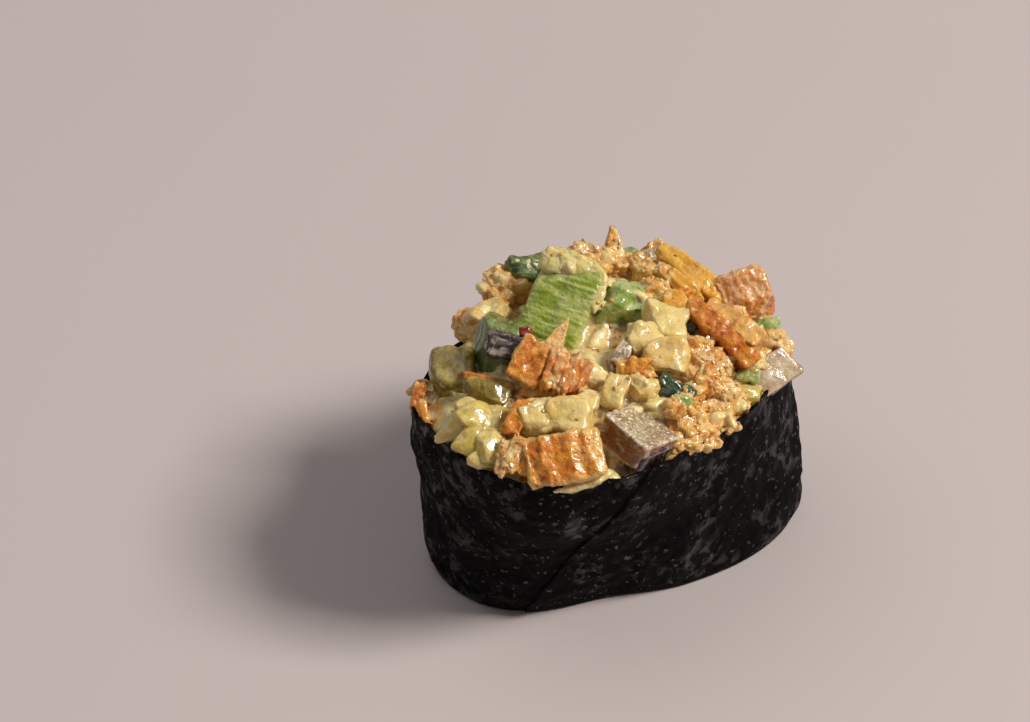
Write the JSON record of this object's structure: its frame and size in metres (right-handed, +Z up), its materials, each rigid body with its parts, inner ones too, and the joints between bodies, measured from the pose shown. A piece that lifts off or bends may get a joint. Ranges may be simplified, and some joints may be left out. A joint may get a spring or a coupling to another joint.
{
  "type": "vegetable gunkan maki",
  "caption": "Oval gunkan sushi: a band of dark nori round pressed rice, heaped with glossy dressed vegetable chunks, fried tofu skin and crumbs.",
  "frame": {"origin": "middle of the part's box, on the surface that the rice stands on", "axes": "+X along the oval's long way, +Y across it, +Z up"},
  "size_m": [0.0582, 0.044, 0.0405],
  "materials": {
    "nori": "moist roasted seaweed sheet, crinkled, with a soft sheen",
    "rice": "moist cooked rice",
    "topping": "crumbs and bits in a creamy pale yellow dressing, wet",
    "green": "green vegetable stalk with fine streaks, wet",
    "aubergine": "grey-brown cooked aubergine with a dark purple skin, wet",
    "avocado": "pale yellow-green flesh, wet",
    "potato": "pale yellow cooked chunk, wet",
    "tofu": "orange fried tofu skin, ridged, glossy with oil",
    "carrot": "orange cooked strip, wet",
    "pepper": "amber cooked strip, wet"
  },
  "bodies": {
    "root": {"nori_wrap": "nori", "rice": "rice", "topping": "topping", "green_stalk": "green", "green_mint": "green", "green_skin": "green", "aubergine_dark": "aubergine", "aubergine_front": "aubergine", "aubergine_rim": "aubergine", "avocado_front": "avocado", "avocado_left": "avocado", "carrot_curve": "carrot", "pepper_strip": "pepper", "potato_back": "potato", "potato_front": "potato", "potato_middle": "potato", "tofu_back": "tofu", "tofu_front": "tofu", "tofu_middle": "tofu", "tofu_right": "tofu"}
  },
  "joints": []
}
